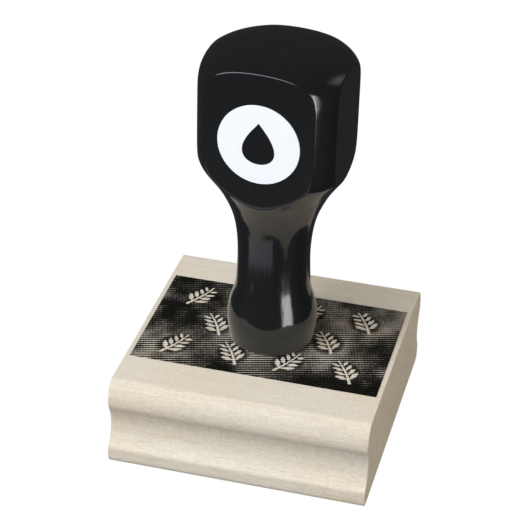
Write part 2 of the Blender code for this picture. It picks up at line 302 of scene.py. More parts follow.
def turned_radius(z):
    """Radius of the body below the crown at heights z, on a smooth curve through the stations."""
    h, r = np.array(HANDLE_OUTLINE).T
    slope = np.gradient(r, h)
    slope[1:-1] = (r[2:] - r[:-2]) / (h[2:] - h[:-2])
    k = np.clip(np.searchsorted(h, z, side="right") - 1, 0, len(h) - 2)
    span = h[k + 1] - h[k]
    t = np.clip((z - h[k]) / span, 0, 1)
    return ((1 + 2 * t) * (1 - t) ** 2 * r[k] + t * (1 - t) ** 2 * span * slope[k]
            + t * t * (3 - 2 * t) * r[k + 1] + t * t * (t - 1) * span * slope[k + 1])


def handle_profile():
    """Arrays (radius, height, share of the outward normal that is radial) from foot to crown."""
    step, past_ends = 0.05, 3.0
    z = np.arange(-past_ends, CROWN_START + past_ends, step)
    raw = turned_radius(z)
    near = np.arange(-3 * TURNED_EASE, 3 * TURNED_EASE + step, step)
    weight = np.exp(-0.5 * (near / TURNED_EASE) ** 2)
    eased = np.convolve(np.pad(raw, len(near) // 2, mode="edge"), weight / weight.sum(), mode="valid")
    heights = np.concatenate([FOOT_RINGS, np.arange(FIRST_RING, CROWN_START - RING_STEP / 2, RING_STEP)])
    radii = np.interp(heights, z, eased[:len(z)])
    ease = np.clip(1 - heights / FOOT_EASE, 0, 1)
    radii = radii - FOOT_EASE * (1 - np.sqrt(1 - ease ** 2))
    outward = 1 / np.sqrt(1 + np.gradient(radii, heights) ** 2)
    inner, outer = CROWN_POWERS
    share = np.cos(np.linspace(0, math.pi / 2, CROWN_RINGS, endpoint=False))
    rise = CROWN_HEIGHT * (1 - share ** inner) ** (1 / outer)
    crown_r, crown_z = HEAD_RADIUS * share, CROWN_START + rise
    step_r, step_z = np.gradient(crown_r), np.gradient(crown_z)
    crown_out = step_z / np.hypot(step_r, step_z)
    return (np.concatenate([radii, crown_r]), np.concatenate([heights, crown_z]),
            np.concatenate([outward, crown_out]))


def ring_angles(radius, segments):
    """Angles round one ring, closer together where a flat meets a round corner."""
    fine = np.linspace(0, 2 * math.pi, ANGLE_SAMPLES)
    weight = np.ones_like(fine)
    for flat, axes in ((FRONT_FLAT, (0.5, 1.5)), (SIDE_FLAT, (0.0, 1.0, 2.0))):
        if radius > flat:
            away = math.acos(flat / radius)
            crowding = CROWDING * min(1.0, away / FULL_CROWDING)
            for axis in axes:
                for edge in (axis * math.pi - away, axis * math.pi + away):
                    weight += crowding * np.exp(-((fine - edge) / CROWDED) ** 2)
    total = np.concatenate([[0.0], np.cumsum((weight[1:] + weight[:-1]) / 2)])
    return np.interp(np.arange(segments) / segments * total[-1], total, fine)


def head_radius(angles, radius, radial):
    """Distance from the axis to the surface at each angle, found by halving the gap around it."""
    low, high = np.zeros(len(angles)), np.full(len(angles), radius + SEARCH_PAST)
    for _ in range(HALVINGS):
        middle = (low + high) / 2
        off = smooth_max((middle - radius) * radial, middle * np.abs(np.sin(angles)) - FRONT_FLAT, ARRIS)
        off = smooth_max(off, middle * np.abs(np.cos(angles)) - SIDE_FLAT, ARRIS)
        low, high = np.where(off < 0, middle, low), np.where(off < 0, high, middle)
    return middle


def build_handle():
    """The turned handle, cut back to four flats, with the insert's bore in its foot."""
    bore = ring_angles(BORE_RADIUS, HANDLE_SEGMENTS)
    rings = [ring(BORE_RADIUS, bore, BORE_DEPTH), ring(BORE_RADIUS, bore, BORE_EASE),
             ring(BORE_RADIUS + BORE_EASE, bore, 0.0)]
    for radius, z, radial in zip(*handle_profile()):
        angles = ring_angles(radius, HANDLE_SEGMENTS)
        rings.append(ring(head_radius(angles, radius, radial), angles, z))
    points = np.concatenate(rings)
    faces = tube_faces(len(rings), HANDLE_SEGMENTS)
    bottom, top = len(points), len(points) + 1
    points = np.concatenate([points, [(0, 0, BORE_DEPTH), (0, 0, CROWN_START + CROWN_HEIGHT)]])
    last = (len(rings) - 1) * HANDLE_SEGMENTS
    for i in range(HANDLE_SEGMENTS):
        j = (i + 1) % HANDLE_SEGMENTS
        faces.append((bottom, j, i))
        faces.append((last + i, last + j, top))
    handle = new_object("handle_body", mesh_from("handle_body", points, faces), smooth_angle=40.0)
    placed(handle, HANDLE_Z, HANDLE_TURN, "handle", "handle", lacquer())


def lacquer():
    """Thick black gloss lacquer on turned wood: slow waves, faint streaks along the axis, fine dust."""
    t = Finish("black_lacquer")
    waves = t.noise(0.16, (1.0, 1.0, 2.6), detail=1.0)
    streaks = t.noise(1.1, (1.0, 1.0, 14.0), detail=3.0, rough=0.6, offset=4.0)
    dust = t.noise(5.0, detail=2.0, offset=9.0)
    tone = t.span(t.noise(0.08, (1.0, 1.0, 2.0), offset=2.0), 0.3, 0.7)
    colour = t.mix(tone, (0.0060, 0.0066, 0.0074), (0.0068, 0.0074, 0.0076))
    peel = t.noise(0.75, (1.0, 1.0, 1.7), detail=2.0, rough=0.6, offset=14.0)
    normal = t.bump(waves, 0.30, 0.5)
    normal = t.bump(peel, 0.045, 0.5, normal)
    normal = t.bump(streaks, 0.050, 0.5, normal)
    normal = t.bump(dust, 0.002, 0.4, normal)
    rough = t.span(streaks, 0.3, 0.7, 0.09, 0.15)
    return t.done(Base_Color=colour, Roughness=rough, Normal=normal, Coat_Weight=0.15,
                  Coat_Roughness=0.05, Coat_Normal=normal, Specular_IOR_Level=0.5)


# ---------------------------------------------------------------- label

LABEL_RADIUS = 9.85
LABEL_BACK = FRONT_FLAT + 0.05
LABEL_FRONT = FRONT_FLAT + 0.25
LABEL_EASE = 0.06                     # the label's soft edge
MARK_THICK, MARK_EASE = 0.03, 0.02
MARK_HALF_HEIGHT = 5.2
MARK_LIFT = 0.3                       # the drop's middle above the label's
MARK_POINT = 1.15                     # how sharply the drop narrows to its tip


def disc_on_flat(name, outline, back, front, ease):
    """A thin flat piece on the handle's front flat, from an outline in millimetres, edge eased."""
    outline = np.asarray(outline, float)
    centre = outline.mean(0)
    along = outline - centre
    length = np.linalg.norm(along, axis=1, keepdims=True)
    inner = centre + along * (1 - ease / length)
    rings = [np.column_stack([edge[:, 0], np.full(len(edge), -depth), edge[:, 1] + LABEL_Z])
             for edge, depth in ((outline, back), (outline, front - ease), (inner, front))]
    return new_object(name, mesh_from(name, *capped_tube(rings)), SHARP_ANGLE)


def build_label():
    """White vinyl disc with a plain black ink drop on it."""
    turns = np.linspace(0, 2 * math.pi, 160, endpoint=False)
    circle = LABEL_RADIUS * np.stack([np.cos(turns), np.sin(turns)], -1)
    disc = disc_on_flat("label_disc", circle, LABEL_BACK, LABEL_FRONT, LABEL_EASE)
    white = vinyl("label_vinyl", (0.83, 0.86, 0.88))
    placed(disc, HANDLE_Z, HANDLE_TURN, "handle", "handle_label", white)
    drop = [(MARK_HALF_HEIGHT * math.sin(a) * math.sin(a / 2) ** MARK_POINT,
             MARK_HALF_HEIGHT * math.cos(a) + MARK_LIFT)
            for a in np.linspace(0, 2 * math.pi, 96, endpoint=False)]
    mark = disc_on_flat("label_mark", drop, LABEL_FRONT, LABEL_FRONT + MARK_THICK, MARK_EASE)
    black = vinyl("label_ink", (0.007, 0.0072, 0.008), 0.15)
    placed(mark, HANDLE_Z, HANDLE_TURN, "handle", None, black)


def vinyl(name, colour, shine=0.4):
    """Faintly grained vinyl film."""
    t = Finish(name)
    grain = t.noise(7.0, detail=2.0)
    patch = t.noise(0.25, detail=2.0, offset=3.0)
    shade = t.mix(t.span(patch, 0.35, 0.65), colour, tuple(0.985 * c for c in colour))
    normal = t.bump(grain, 0.004, 0.5)
    return t.done(Base_Color=shade, Roughness=t.span(grain, 0.3, 0.7, 0.38, 0.46), Normal=normal,
                  Specular_IOR_Level=shine)


# ---------------------------------------------------------------- mount block

BLOCK_LOW, BLOCK_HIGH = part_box("mount_block")
BLOCK_WIDTH = (BLOCK_HIGH.x - BLOCK_LOW.x) / MM
BLOCK_HEIGHT = (BLOCK_HIGH.z - BLOCK_LOW.z) / MM
COVE_RADIUS = 8.6                     # of the round finger cove along each side
COVE_HEIGHT = 10.56                   # where the cove is deepest
COVE_DEPTH = 30.5                     # half depths of the block: at the cove, the nose and the foot
NOSE_DEPTH, NOSE_RADIUS = 32.4, 3.5
FOOT_DEPTH, FOOT_EDGE = 33.1, 1.1
FOOT_ROUND = 1.8
END_EASE = 0.28                       # the sawn ends' edges, broken with sandpaper
END_STATIONS = [(0.0, 1.0), (0.0, 0.45), (0.45, 0.0)]    # (in from the end, off the outline), in END_EASE
SCREW_HOLE = 2.8
SINK_RADIUS = 5.1                     # of the hole's wide mouth for the screw's head
SINK_HEIGHTS = (0.7, 3.4)             # where the mouth starts to narrow and where it ends
PAST_FACE = 2.0                       # how far the cutter reaches past the block
HOLE_SEGMENTS = 48
PITH_BEFORE, PITH_BELOW = 52.0, 95.0  # the tree's middle, in front of the block and below it
RING_WIDTH = 4.3                      # of one year's growth
SIDE_FACES = (28.6, 29.8)             # distance from the middle at which a long side's face begins
UNDER_NOSE = (12.8, 14.6, 16.8, 18.2)  # heights between which the planer marks fade in and out
IN_COVE = (8.5, 12.0, 14.2, 15.2)


def cove_meets(depth, radius):
    """Angle at which the cove runs into a round edge that stands out to depth, and that edge's height."""
    reach = COVE_RADIUS + radius
    angle = math.acos(1 - (depth - COVE_DEPTH) / reach)
    return angle, reach * math.sin(angle)


def side_outline():
    """(depth, height) points of one long side, from the underside up to the top face."""

    def arc(centre, out, rise, first, last, points):
        a = np.linspace(first, last, points)
        return np.stack([centre[0] + out * np.cos(a), centre[1] + rise * np.sin(a)], -1)

    low_angle, drop = cove_meets(FOOT_DEPTH, FOOT_EDGE)
    high_angle, climb = cove_meets(NOSE_DEPTH, NOSE_RADIUS)
    foot = (FOOT_DEPTH - FOOT_ROUND, FOOT_ROUND)
    edge = (FOOT_DEPTH - FOOT_EDGE, COVE_HEIGHT - drop)
    cove = (COVE_DEPTH + COVE_RADIUS, COVE_HEIGHT)
    nose = (NOSE_DEPTH - NOSE_RADIUS, COVE_HEIGHT + climb)
    return np.concatenate([
        arc(foot, FOOT_ROUND, FOOT_ROUND, -math.pi / 2, 0.0, 13),
        arc(edge, FOOT_EDGE, FOOT_EDGE, 0.0, low_angle, 7),
        arc(cove, -COVE_RADIUS, COVE_RADIUS, -low_angle, high_angle, 44)[1:],
        arc(nose, NOSE_RADIUS, NOSE_RADIUS, -high_angle, 0.0, 14)[1:],
        arc(nose, NOSE_RADIUS, BLOCK_HEIGHT - nose[1], 0.0, math.pi / 2, 30)[1:]])


def build_block():
    """The moulded mount, sawn to length, with eased end edges and the screw's hole."""
    side = side_outline()
    section = np.concatenate([side, (side * (-1, 1))[::-1]])
    step = np.roll(section, -1, 0) - np.roll(section, 1, 0)
    normal = np.stack([step[:, 1], -step[:, 0]], -1)
    normal /= np.linalg.norm(normal, axis=1, keepdims=True)
    rings = []
    for end, stations in ((-1, END_STATIONS), (1, END_STATIONS[::-1])):
        for inward, inset in stations:
            x = end * (BLOCK_WIDTH / 2 - inward * END_EASE)
            outline = section - normal * END_EASE * inset
            rings.append(np.column_stack([np.full(len(outline), x), outline]))
    block = new_object("maple_block", mesh_from("maple_block", *capped_tube(rings)), SHARP_ANGLE)
    radii = (SINK_RADIUS, SINK_RADIUS, SCREW_HOLE, SCREW_HOLE)
    heights = (-PAST_FACE, *SINK_HEIGHTS, BLOCK_HEIGHT + PAST_FACE)
    carve(block, turned("hole", lambda angles, k: radii[k], heights, HOLE_SEGMENTS))
    placed(block, BLOCK_LOW.z, 0.0, "block", "mount_block", maple("bare_maple"))


def maple_colour(t):
    """Colour of solid maple at every point, with its bump height. Fibres run along X."""
    _, y, z = t.parts(t.place)
    drift = t.noise(0.06, (5.0, 1.0, 1.0), detail=2.0, offset=1.0)
    wander = t.times(t.math("SUBTRACT", drift, 0.5), 7.0)
    across = t.math("ADD", t.math("ADD", y, PITH_BEFORE), wander)
    up = t.math("ADD", z, PITH_BELOW)
    from_pith = t.math("SQRT", t.math("ADD", t.times(across, across), t.times(up, up)))
    late = t.math("POWER", t.math("FRACT", t.math("DIVIDE", from_pith, RING_WIDTH)), 7.0)
    high = t.math("SUBTRACT", z, BLOCK_LOW.z / MM)
    side = t.span(t.math("ABSOLUTE", y), *SIDE_FACES)
    blotch = t.noise(0.07, (3.0, 1.0, 1.0), detail=3.0, offset=7.0)
    fibres = t.noise(1.5, (26.0, 1.0, 1.0), detail=4.0, rough=0.62, offset=3.0)
    threads = t.noise(2.6, (14.0, 1.0, 1.0), detail=3.0, rough=0.6, offset=5.0)
    speckle = t.noise(2.1, (2.2, 1.0, 1.0), detail=2.0, rough=0.7, offset=40.0)
    dashes = t.noise(2.4, (5.0, 1.0, 1.0), detail=1.0, offset=12.0)
    warm_lines = t.noise(0.8, (26.0, 1.0, 1.0), detail=3.0, rough=0.6, offset=60.0)
    pale, warm, tan = (0.592, 0.548, 0.464), (0.594, 0.526, 0.415), (0.470, 0.405, 0.310)
    colour = t.mix(t.span(blotch, 0.35, 0.7), pale, warm)
    colour = t.mix(t.times(late, 0.25), colour, tan)
    colour = t.mix(t.span(fibres, 0.52, 0.78, 0.0, 0.38), colour, tan)
    colour = t.mix(t.span(fibres, 0.25, 0.45, 0.32, 0.0), colour, (0.66, 0.615, 0.505))
    line = t.times(t.span(warm_lines, 0.58, 0.67, 0.0, 0.55), t.span(side, 0.0, 1.0, 0.35, 1.0))
    colour = t.mix(line, colour, (0.56, 0.43, 0.29))
    colour = t.mix(t.span(dashes, 0.66, 0.78, 0.0, 0.34), colour, (0.40, 0.33, 0.24))
    # Planer marks: burnished flecks under the bullnose and upright chatter in the cove below it
    flecks = t.noise(0.85, (1.6, 1.0, 0.8), detail=2.0, rough=0.6, offset=70.0)
    burnish = t.times(t.band(high, *UNDER_NOSE), side, t.span(flecks, 0.50, 0.64, 0.0, 0.30))
    colour = t.mix(burnish, colour, (0.43, 0.33, 0.22))
    in_cove = t.times(t.band(high, *IN_COVE), side)
    chatter = t.noise(1.5, (1.0, 8.0, 5.0), detail=2.0, rough=0.6, offset=15.0)
    grain = t.times(t.span(speckle, 0.25, 0.75, -0.10, 0.10, soft=False), t.span(side, 0.0, 1.0, 0.7, 1.15))
    shade = t.math("ADD", t.span(threads, 0.3, 0.7, 0.965, 1.035, soft=False), grain)
    shade = t.math("ADD", shade, t.times(in_cove, t.span(chatter, 0.3, 0.7, -0.06, 0.05)))
    colour = t.math3("SCALE", colour, shade)
    # End grain, on the two faces across the fibres
    normal_x = t.parts(t.node("ShaderNodeNewGeometry").outputs["Normal"])[0]
    end = t.span(t.math("ABSOLUTE", normal_x), 0.6, 0.85)
    pores = t.noise(4.0, (30.0, 1.0, 1.6), detail=2.0, rough=0.7, offset=8.0)
    saw = t.noise(0.9, (30.0, 1.0, 9.0), detail=4.0, rough=0.65, offset=80.0)
    end_colour = t.mix(t.span(pores, 0.55, 0.75, 0.0, 0.5), (0.52, 0.455, 0.355), (0.38, 0.32, 0.235))
    end_colour = t.mix(t.span(saw, 0.42, 0.70, 0.0, 0.55), end_colour, (0.40, 0.325, 0.245))
    end_colour = t.mix(t.times(late, 0.35), end_colour, (0.40, 0.335, 0.25))
    colour = t.mix(end, colour, end_colour)
    height = t.math("ADD", t.times(threads, 0.6), t.times(fibres, 0.4))
    height = t.math("SUBTRACT", height, t.span(dashes, 0.66, 0.78, 0.0, 0.5))
    height = t.math("ADD", height, t.times(speckle, 0.9))
    return colour, height


def maple(name):
    """Bare sanded maple."""
    t = Finish(name)
    colour, height = maple_colour(t)
    normal = t.bump(height, 0.09, 0.6)
    return t.done(Base_Color=colour, Roughness=t.span(height, 0.6, 1.6, 0.66, 0.52), Normal=normal,
                  Specular_IOR_Level=0.3)


# ---------------------------------------------------------------- picture on the film and the die

FILM_LOW, FILM_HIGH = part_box("index_film")
FILM_HALF = ((FILM_HIGH.x - FILM_LOW.x) / MM / 2, (FILM_HIGH.y - FILM_LOW.y) / MM / 2)
FILM_GRID = (360, 226)                # points along the film and across it
LINE_PITCH = 0.92                     # of the screen's lines, which break the ink up
LINE_SLOPE = 0.302
SCREEN_TILT = math.hypot(1.0, LINE_SLOPE)
LINE_STRENGTH = 0.30
DOT_PITCH = 0.8                       # of the dots across the lines, as a share of LINE_PITCH
DOT_STRENGTH = 0.035
FULL_COVER = (0.27, 0.73)             # ink densities between which the ink comes to cover the film
MIRRORED_INK = 0.12                   # how much of the ink the lacquer's reflection shows

# The picture is a plain repeating pattern: leafy sprigs in staggered rows, pale in a shaded ground
SPRIG_ROWS, SPRIG_COLUMNS = 3, 4      # every second row has one sprig less
SPRIG_PITCH = (14.2, 11.2)            # between sprigs along a row, and between rows
SPRIG_LENGTH = 9.6
SPRIG_LEAN = math.radians(28)         # off upright, to the left and to the right in turn
SPRIG_BEND = 0.016                    # sideways curve of a stem, in mm for each mm along it squared
STEM_WIDTHS = (0.36, 0.16)            # half widths at the foot and at the tip
LEAF_PAIRS = 4
LEAF_FIRST, LEAF_STEP = 0.14, 0.2     # places of the leaf pairs, as shares of the stem
LEAF_TURN = math.radians(48)          # between the stem and a leaf
LEAF_LENGTH, LEAF_WIDTH = 1.75, 0.60  # half length and half width of the first leaves
LEAF_TAPER = 0.12                     # how much smaller each pair is than the one before it
LEAF_GAP = 0.50                       # from the stem's middle to a leaf's root
GROUND_TONE = 0.84                    # ink densities
LEAF_TONE, LEAF_SHADE, VEIN_TONE, STEM_TONE = 0.06, 0.12, 0.24, 0.08
VEIN_WIDTH = 0.12                     # as a share of the leaf
LEAF_SOFT, VEIN_SOFT, STEM_SOFT = 0.16, 0.08, 0.14
RAG = 0.05                            # unevenness of the leaves' and stems' edges


def field_noise(x, y, cell, seed):
    """Smooth noise from -1 to 1 with the given cell size in millimetres."""
    u, v = x / cell, y / cell
    left, low = np.floor(u), np.floor(v)
    s, t = u - left, v - low
    s, t = s * s * (3 - 2 * s), t * t * (3 - 2 * t)

    def corner(i, j):
        mixed = np.sin((left + i) * 127.1 + (low + j) * 311.7 + seed * 74.7) * 43758.5453
        return 2 * (mixed - np.floor(mixed)) - 1

    lower = corner(0, 0) * (1 - s) + corner(1, 0) * s
    upper = corner(0, 1) * (1 - s) + corner(1, 1) * s
    return lower * (1 - t) + upper * t


def ramp(value, soft):
    """0 outside a shape and 1 inside it, where value is the distance outside its edge."""
    t = np.clip(0.5 - value / (2 * soft), 0, 1)
    return t * t * (3 - 2 * t)


def sprigs():
    """Centre and direction of every sprig of the pattern."""
    across, up = SPRIG_PITCH
    for row in range(SPRIG_ROWS):
        columns = SPRIG_COLUMNS - row % 2
        for column in range(columns):
            lean = SPRIG_LEAN if (row + column) % 2 else -SPRIG_LEAN
            yield (column - (columns - 1) / 2) * across, (row - (SPRIG_ROWS - 1) / 2) * up, math.pi / 2 + lean


def stem_distance(along, across):
    """How far outside the tapering stem each place is."""
    half = SPRIG_LENGTH / 2
    share = np.clip(along / SPRIG_LENGTH + 0.5, 0, 1)
    width = STEM_WIDTHS[0] + (STEM_WIDTHS[1] - STEM_WIDTHS[0]) * share
    return np.hypot(np.maximum(np.abs(along) - half, 0), across) - width


def leaf_distance(along, across, pair, side):
    """How far outside one pointed leaf each place is, and its place across the leaf from -1 to 1."""
    size = 1 - LEAF_TAPER * pair
    u = along - SPRIG_LENGTH * (LEAF_FIRST + LEAF_STEP * pair - 0.5)
    v = side * across
    out = (u * math.cos(LEAF_TURN) + v * math.sin(LEAF_TURN) - LEAF_GAP) / (LEAF_LENGTH * size) - 1
    wide = (v * math.cos(LEAF_TURN) - u * math.sin(LEAF_TURN)) / (LEAF_WIDTH * size)
    return (np.abs(wide) - (1 - out * out)) * LEAF_WIDTH * 0.8, wide


def picture(x, y):
    """Ink density of the print from 0 (bare) to 1 (solid)."""
    rag = RAG * field_noise(x, y, 0.5, 5)
    tone = GROUND_TONE + 0.20 * field_noise(x, y, 9.0, 1) + 0.10 * field_noise(x, y, 3.0, 2)
    for centre_x, centre_y, turn in sprigs():
        dx, dy = x - centre_x, y - centre_y
        along = dx * math.cos(turn) + dy * math.sin(turn)
        across = dy * math.cos(turn) - dx * math.sin(turn) - SPRIG_BEND * along * along
        tone = np.maximum(tone, np.exp(-(np.hypot(along, 1.2 * across) / (0.7 * SPRIG_LENGTH)) ** 4))
        for pair in range(LEAF_PAIRS):
            for side in (-1, 1):
                outside, wide = leaf_distance(along, across, pair, side)
                leaf = ramp(outside + rag, LEAF_SOFT)
                vein = ramp((np.abs(wide) - VEIN_WIDTH) * LEAF_WIDTH, VEIN_SOFT)
                shade = LEAF_TONE + LEAF_SHADE * ramp(-wide, 0.3) + VEIN_TONE * vein
                tone = tone * (1 - leaf) + shade * leaf
        stem = ramp(stem_distance(along, across) + rag, STEM_SOFT)
        tone = tone * (1 - stem) + STEM_TONE * stem
    return np.clip(tone, 0, 1)


def build_film():
    """The printed film on the block: a fine sheet that carries the ink density of the picture."""
    x, y = grid(*FILM_HALF, *FILM_GRID)
    thick = (FILM_HIGH.z - FILM_LOW.z) / MM
    points, faces = slab(x, y, np.full(x.shape, thick), 0.0)
    film = new_object("printed_film", mesh_from("printed_film", points, faces), SHARP_ANGLE)
    carve(film, turned("hole", lambda angles, k: SCREW_HOLE, (-1.0, 1.0), HOLE_SEGMENTS))
    where = np.zeros(len(film.data.vertices) * 3)
    film.data.vertices.foreach_get("co", where)
    where = where.reshape(-1, 3) / MM
    ink = film.data.attributes.new("ink", "FLOAT", "POINT")
    ink.data.foreach_set("value", picture(where[:, 0], where[:, 1]).astype(np.float32))
    placed(film, FILM_LOW.z, 0.0, "block", "index_film", printed_film())


def printed_film():
    """Clear film over the maple, with the picture screened in black lines."""
    t = Finish("index_print")
    wood, height = maple_colour(t)
    x, y, _ = t.parts(t.place)
    lines = t.times(t.math("SUBTRACT", y, t.times(x, LINE_SLOPE)),
                    2 * math.pi / (LINE_PITCH * SCREEN_TILT))
    dots = t.times(t.math("ADD", x, t.times(y, LINE_SLOPE)),
                   2 * math.pi / (DOT_PITCH * LINE_PITCH * SCREEN_TILT))
    screen = t.math("ADD", t.times(t.math("COSINE", lines), LINE_STRENGTH),
                    t.times(t.math("COSINE", dots), DOT_STRENGTH))
    grain = t.times(t.math("SUBTRACT", t.noise(1.8, detail=2.0, offset=30.0), 0.5), 0.30)
    level = t.math("ADD", t.math("ADD", t.attribute("ink"), screen), grain)
    cover = t.times(t.span(level, *FULL_COVER),
                    t.span(t.lit_by("Is Glossy Ray"), 0.0, 1.0, 1.0, MIRRORED_INK))
    colour = t.mix(cover, wood, (0.0046, 0.0044, 0.0038))
    return t.done(Base_Color=colour, Roughness=t.span(cover, 0.0, 1.0, 0.55, 0.42),
                  Normal=t.bump(height, 0.02, 0.4),
                  Specular_IOR_Level=t.span(cover, 0.0, 1.0, 0.25, 0.07))


# ---------------------------------------------------------------- die, foam and adhesives

DIE_LOW, DIE_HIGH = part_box("rubber_die")
DIE_GRID = (330, 208)                 # points along the die and across it
RELIEF = 0.9                          # height of the raised printing face over its sheet
RELIEF_LINES = 1.5                    # pitch of the relief's lines, as a share of LINE_PITCH
RELIEF_SLOPE, MARGIN_SLOPE = 0.14, 0.12
DIE_MARGIN = 0.7                      # low rim round the printing face
FOAM_CORNER = 0.6
FOAM_BULGE = 0.55                     # how far the cut edges hang out halfway up
FOAM_CELLS = 0.05                     # unevenness of the cut edges
FOAM_LEVELS = 13
FOAM_STEPS = (120, 76)                # points along a long edge and along a short one


def build_die():
    """Moulded rubber: the picture stands up from the sheet on the underside."""
    half_x, half_y = (DIE_HIGH.x - DIE_LOW.x) / MM / 2, (DIE_HIGH.y - DIE_LOW.y) / MM / 2
    thick = (DIE_HIGH.z - DIE_LOW.z) / MM
    x, y = grid(half_x, half_y, *DIE_GRID)
    pitch = RELIEF_LINES * LINE_PITCH
    screen = LINE_STRENGTH * np.cos((y - x * LINE_SLOPE) * 2 * math.pi / (pitch * SCREEN_TILT))
    raised = ramp(0.5 - picture(x, y) - screen, RELIEF_SLOPE)
    inside = ramp(np.maximum(np.abs(x) - half_x, np.abs(y) - half_y) + DIE_MARGIN, MARGIN_SLOPE)
    points, faces = slab(x, y, RELIEF * (1 - raised * inside), thick, flip=True)
    die = new_object("moulded_die", mesh_from("moulded_die", points, faces), smooth_angle=50.0)
    placed(die, DIE_LOW.z, 0.0, "die", "rubber_die", rubber())


def rubber():
    """Grey moulded rubber with a bloom, darker with ink on its printing face."""
    t = Finish("grey_rubber")
    bloom = t.noise(0.35, detail=4.0, rough=0.6)
    grain = t.noise(9.0, detail=2.0, offset=5.0)
    colour = t.mix(t.span(bloom, 0.35, 0.7), (0.150, 0.142, 0.150), (0.190, 0.182, 0.186))
    z = t.parts(t.place)[2]
    inked = t.times(t.span(z, 0.05, 0.25, 1.0, 0.0), t.span(bloom, 0.4, 0.6, 0.25, 0.55))
    colour = t.mix(inked, colour, (0.060, 0.057, 0.060))
    return t.done(Base_Color=colour, Roughness=t.span(grain, 0.3, 0.7, 0.6, 0.75),
                  Normal=t.bump(grain, 0.012, 0.6), Specular_IOR_Level=0.3)


def build_foam():
    """Closed-cell foam cushion: cut edges bulge slightly and show small cells."""
    low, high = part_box("foam_cushion")
    half = np.array([(high.x - low.x) / MM / 2, (high.y - low.y) / MM / 2])
    thick = (high.z - low.z) / MM
    corners = np.array([(-1, -1), (1, -1), (1, 1), (-1, 1)])
    sides = []
    for k, (start, end) in enumerate(zip(corners, np.roll(corners, -1, 0))):
        steps = FOAM_STEPS[k % 2]
        share = np.arange(steps)[:, None] / steps
        sides.append(half * (start + (end - start) * share))
    edge = np.concatenate(sides)
    corner = np.clip(edge, FOAM_CORNER - half, half - FOAM_CORNER)
    outward = edge - corner
    outward /= np.linalg.norm(outward, axis=1, keepdims=True)
    edge = corner + outward * FOAM_CORNER
    rings = []
    for k in range(FOAM_LEVELS):
        share = k / (FOAM_LEVELS - 1)
        shift = np.full(len(edge), FOAM_BULGE * (1 - (2 * share - 1) ** 2) - FOAM_BULGE)
        if 0 < k < FOAM_LEVELS - 1:
            along, up = edge[:, 0] * 3 + edge[:, 1] * 3, np.full(len(edge), share * 9.0)
            shift += FOAM_CELLS * field_noise(along, up, 1.0, 4)
        rings.append(np.column_stack([edge + outward * shift[:, None], np.full(len(edge), share * thick)]))
    foam = new_object("foam_pad", mesh_from("foam_pad", *capped_tube(rings)), smooth_angle=45.0)
    placed(foam, low.z, 0.0, "block", "foam_cushion", foam_finish())
    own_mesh(foam)


def foam_finish():
    """White closed-cell foam, yellowed in patches."""
    t = Finish("foam_white")
    cells = t.node("ShaderNodeTexVoronoi", {"Vector": t.place, "Scale": 2.6}).outputs["Distance"]
    patch = t.noise(0.3, detail=2.0)
    colour = t.mix(t.span(cells, 0.1, 0.7), (0.70, 0.69, 0.66), (0.82, 0.81, 0.78))
    colour = t.mix(t.span(patch, 0.4, 0.7, 0.0, 0.3), colour, (0.78, 0.75, 0.66))
    return t.done(Base_Color=colour, Roughness=0.9, Normal=t.bump(cells, 0.08, 0.7),
                  Specular_IOR_Level=0.2)


def finish_adhesives():
    """The two adhesive films keep their CAD shapes and get an amber look."""
    for node in ("upper_adhesive", "lower_adhesive"):
        t = Finish(node + "_film")
        streak = t.noise(0.6, (8.0, 1.0, 1.0), detail=2.0)
        colour = t.mix(t.span(streak, 0.3, 0.7), (0.66, 0.60, 0.44), (0.74, 0.69, 0.54))
        made = t.done(Base_Color=colour, Roughness=t.span(streak, 0.3, 0.7, 0.25, 0.4),
                      Normal=t.bump(streak, 0.01, 0.5))
        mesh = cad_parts[node].data
        mesh.materials.clear()
        mesh.materials.append(made)


# ---------------------------------------------------------------- fastening

SCREW_LOW, SCREW_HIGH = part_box("mount_screw")
SCREW_RADIUS = 2.5
NECK_WAIST = 0.15                     # how much thinner the plain neck is than the thread
SCREW_HEAD = [(0.0, 4.6), (0.12, 4.8), (0.3, 4.8), (2.7, 2.5), (2.9, SCREW_RADIUS - NECK_WAIST)]
SCREW_SEGMENTS = 60
TIP_LENGTH, TIP_NARROWS = 1.0, 0.8    # the screw's point, and how much its radius drops there
RECESS_ARM, RECESS_END = 0.45, 2.2    # half width and reach of the cross recess's arms
RECESS_DEPTH, RECESS_TAPER = 1.6, 0.55
THREAD_PITCH = 0.8
THREAD_DEPTH = 0.42
THREAD_START = 14.0
THREAD_STEPS = 12                     # rings of points in one turn of the thread
THREAD_FLANK, THREAD_ROOT = 1.35, 0.17    # steepness of its flanks and width of its root
INSERT_RADIUS, INSERT_BORE = 4.0, 2.8
INSERT_CHAMFER = 0.2                  # of the two outer edges
BORE_CHAMFER = 0.3                    # of the bore's two edges
PLAIN_END = 1.4                       # plain length at each end, before the knurled waist
WAIST_DEPTH = 0.4
KNURL_DEPTH, KNURL_COUNT, KNURL_TURN = 0.14, 12, 1.6
INSERT_SEGMENTS = 96


